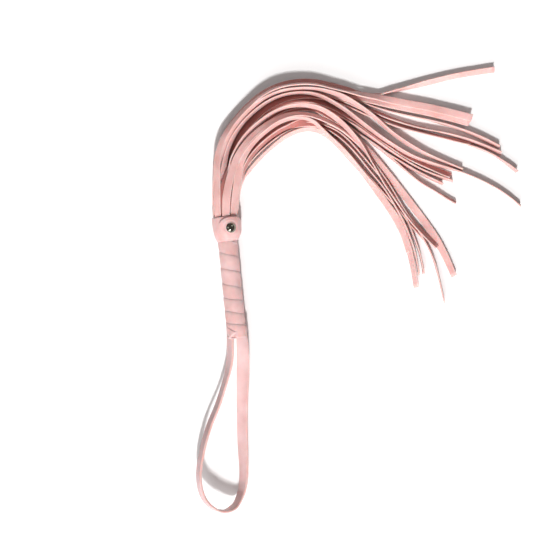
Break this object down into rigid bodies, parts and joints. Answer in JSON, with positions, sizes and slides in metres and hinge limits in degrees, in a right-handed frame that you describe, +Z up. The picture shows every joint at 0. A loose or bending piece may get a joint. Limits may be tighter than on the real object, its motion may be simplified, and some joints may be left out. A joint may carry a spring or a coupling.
{
  "type": "many-tailed leather whip",
  "caption": "Short whip with a leather-wrapped handle, riveted collar, wrist loop strap and flat soft leather tails fanned out on one side.",
  "frame": {"origin": "middle of the grip, on the handle's axis", "axes": "+Y along the handle towards the tails, +Z up, away from the surface that the whip lies on"},
  "size_m": [0.2785, 0.3339, 0.0245],
  "materials": {
    "pink_leather": "smooth, slightly waxy",
    "tail_leather": "soft, matt, with a napped back",
    "core_wood": "turned, unvarnished",
    "rivet_metal": "polished nickel"
  },
  "bodies": {
    "handle": {"core_rod": "core_wood", "tail_header": "tail_leather", "collar_band": "pink_leather", "rivet_stud": "rivet_metal", "grip_wrap": "pink_leather", "strap_tang_left": "pink_leather", "strap_tang_right": "pink_leather"},
    "wrist_loop": {"wrist_loop": "pink_leather"},
    "tails": {"tail_01": "tail_leather", "tail_02": "tail_leather", "tail_03": "tail_leather", "tail_04": "tail_leather", "tail_05": "tail_leather", "tail_06": "tail_leather", "tail_07": "tail_leather", "tail_08": "tail_leather", "tail_09": "tail_leather", "tail_10": "tail_leather", "tail_11": "tail_leather", "tail_12": "tail_leather", "tail_13": "tail_leather", "tail_14": "tail_leather", "tail_15": "tail_leather", "tail_16": "tail_leather", "tail_17": "tail_leather", "tail_18": "tail_leather", "tail_19": "tail_leather", "tail_20": "tail_leather", "tail_21": "tail_leather"}
  },
  "joints": [
    {"name": "tails_swing", "type": "hinge", "parent": "handle", "child": "tails", "pos_m": [0, 0.069, 0], "axis": [0, 0, 1], "range_deg": [-38, 38]},
    {"name": "wrist_loop_lift", "type": "hinge", "parent": "handle", "child": "wrist_loop", "pos_m": [0, -0.0443, 0], "axis": [1, 0, 0], "range_deg": [-85, 85], "stiffness_Nm_per_rad": 0.12}
  ]
}
